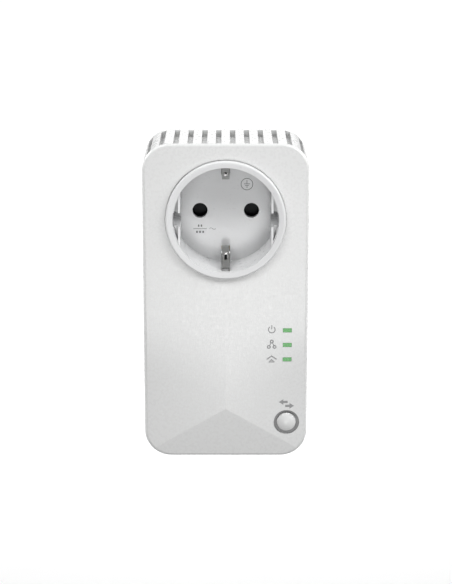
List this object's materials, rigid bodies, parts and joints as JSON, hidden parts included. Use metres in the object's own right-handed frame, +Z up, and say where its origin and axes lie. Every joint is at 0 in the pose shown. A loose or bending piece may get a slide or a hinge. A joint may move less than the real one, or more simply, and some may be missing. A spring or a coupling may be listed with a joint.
{
  "type": "powerline adapter",
  "caption": "Plug-in powerline network adapter with an earthed pass-through socket, pair button, status lights and a network port.",
  "frame": {"origin": "centre of the plug boss's end face, midway between the two plug pins", "axes": "+Y out of the back along the plug pins, +Z up along the body, +X to the right as seen from the front"},
  "size_m": [0.0604, 0.0699, 0.119],
  "materials": {
    "white_shell": "fine satin texture",
    "label_film": "matt film",
    "steel_screws": "zinc plated",
    "socket_white": "semi-gloss",
    "carrier_plastic": "matt",
    "shutter_black": "satin",
    "spring_steel": "drawn wire",
    "nickel_strip": "nickel plated",
    "contact_brass": "stamped",
    "nickel_pin": "nickel plated",
    "button_white": "satin",
    "switch_black": "matt",
    "bezel_grey": "matt",
    "green_window": "clear, lit green",
    "led_body": "clear",
    "board_green": "solder mask",
    "fuse_brown": "moulded",
    "varistor_blue": "epoxy dipped",
    "film_capacitor": "moulded box",
    "ferrite": "sintered",
    "copper_wire": "enamelled",
    "chip_black": "moulded epoxy",
    "can_sleeve": "shrink sleeve",
    "winding_tape": "polyester tape",
    "bobbin_black": "moulded",
    "sink_aluminium": "extruded",
    "crystal_steel": "drawn can",
    "jack_plastic": "moulded",
    "jack_steel": "tinned",
    "jack_gold": "gold plated",
    "wire_brown": "insulation",
    "wire_blue": "insulation"
  },
  "bodies": {
    "adapter": {"front_cover": "white_shell", "rear_cover": "white_shell", "rating_label": "label_film", "case_screws": "steel_screws", "board_screws": "steel_screws", "carrier_screws": "steel_screws", "socket_insert": "socket_white", "contact_carrier": "carrier_plastic", "shutter_spring": "spring_steel", "line_contact": "contact_brass", "neutral_contact": "contact_brass", "earth_bridge": "contact_brass", "plug_pin_line": "nickel_pin", "plug_pin_neutral": "nickel_pin", "plug_earth_strip_top": "nickel_strip", "plug_earth_strip_bottom": "nickel_strip", "button_bezel": "bezel_grey", "switch_body": "switch_black", "light_guide": "green_window", "status_leds": "led_body", "main_board": "board_green", "mains_fuse": "fuse_brown", "varistor": "varistor_blue", "x_capacitor": "film_capacitor", "y_capacitor": "varistor_blue", "choke_core": "ferrite", "choke_windings": "copper_wire", "rectifier": "chip_black", "bulk_capacitors": "can_sleeve", "output_capacitors": "can_sleeve", "optocoupler": "chip_black", "transformer_core": "ferrite", "transformer_winding": "winding_tape", "transformer_bobbin": "bobbin_black", "main_chip": "chip_black", "heat_sink": "sink_aluminium", "memory_chip": "chip_black", "crystal": "crystal_steel", "coupling_transformer": "ferrite", "network_transformer": "chip_black", "network_jack": "jack_plastic", "jack_shield": "jack_steel", "jack_contacts": "jack_gold", "line_wire": "wire_brown", "neutral_wire": "wire_blue"},
    "button": {"pair_button": "button_white"},
    "plunger": {"switch_plunger": "switch_black"},
    "safety_shutter": {"shutter": "shutter_black"},
    "top_clip": {"earth_clip_top": "nickel_strip"},
    "bottom_clip": {"earth_clip_bottom": "nickel_strip"}
  },
  "joints": [
    {"name": "pair_button_press", "type": "slide", "parent": "adapter", "child": "button", "axis": [0, 1, 0], "range_m": [0, 0.0005], "stiffness_N_per_m": 2500, "springref_m": -0.0002},
    {"name": "plunger_press", "type": "slide", "parent": "adapter", "child": "plunger", "axis": [0, 1, 0], "range_m": [0, 0.0005]},
    {"name": "shutter_slide", "type": "slide", "parent": "adapter", "child": "safety_shutter", "axis": [0, 0, 1], "range_m": [0, 0.0064], "stiffness_N_per_m": 80, "springref_m": -0.003, "deforming": ["shutter_spring"]},
    {"name": "top_clip_flex", "type": "hinge", "parent": "adapter", "child": "top_clip", "pos_m": [0, -0.0217, 0.01375], "axis": [-1, 0, 0], "range_deg": [0, 2.2], "stiffness_Nm_per_rad": 1.5, "springref_deg": -0.57},
    {"name": "bottom_clip_flex", "type": "hinge", "parent": "adapter", "child": "bottom_clip", "pos_m": [0, -0.0217, -0.01375], "axis": [1, 0, 0], "range_deg": [0, 2.2], "stiffness_Nm_per_rad": 1.5, "springref_deg": -0.57}
  ],
  "couplings": [
    {"joint": "plunger_press", "follows": "pair_button_press", "ratio": 1}
  ]
}
